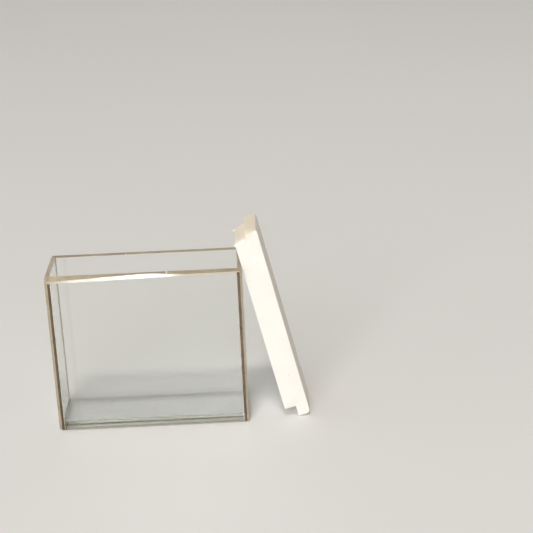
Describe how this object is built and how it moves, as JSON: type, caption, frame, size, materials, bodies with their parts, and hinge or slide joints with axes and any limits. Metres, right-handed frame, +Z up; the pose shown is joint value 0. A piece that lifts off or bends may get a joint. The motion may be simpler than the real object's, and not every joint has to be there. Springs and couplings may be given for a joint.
{
  "type": "lidded rectangular cuvette",
  "caption": "Clear rectangular glass cell, open at the top, for holding a liquid sample in a light beam, with its white stepped lid taken off and leaning on the rim.",
  "frame": {"origin": "centre of the cell's underside, on the surface it stands on", "axes": "+X along the light path towards the leaning lid, +Y across the side panes, +Z up out of the mouth"},
  "size_m": [0.0692, 0.018, 0.0553],
  "materials": {
    "glass": "polished clear faces, finely ground rim and edge bevels",
    "ptfe": "machined white fluoropolymer, waxy and faintly translucent"
  },
  "bodies": {
    "root": {"cell": "glass", "lid": "ptfe"}
  },
  "joints": []
}
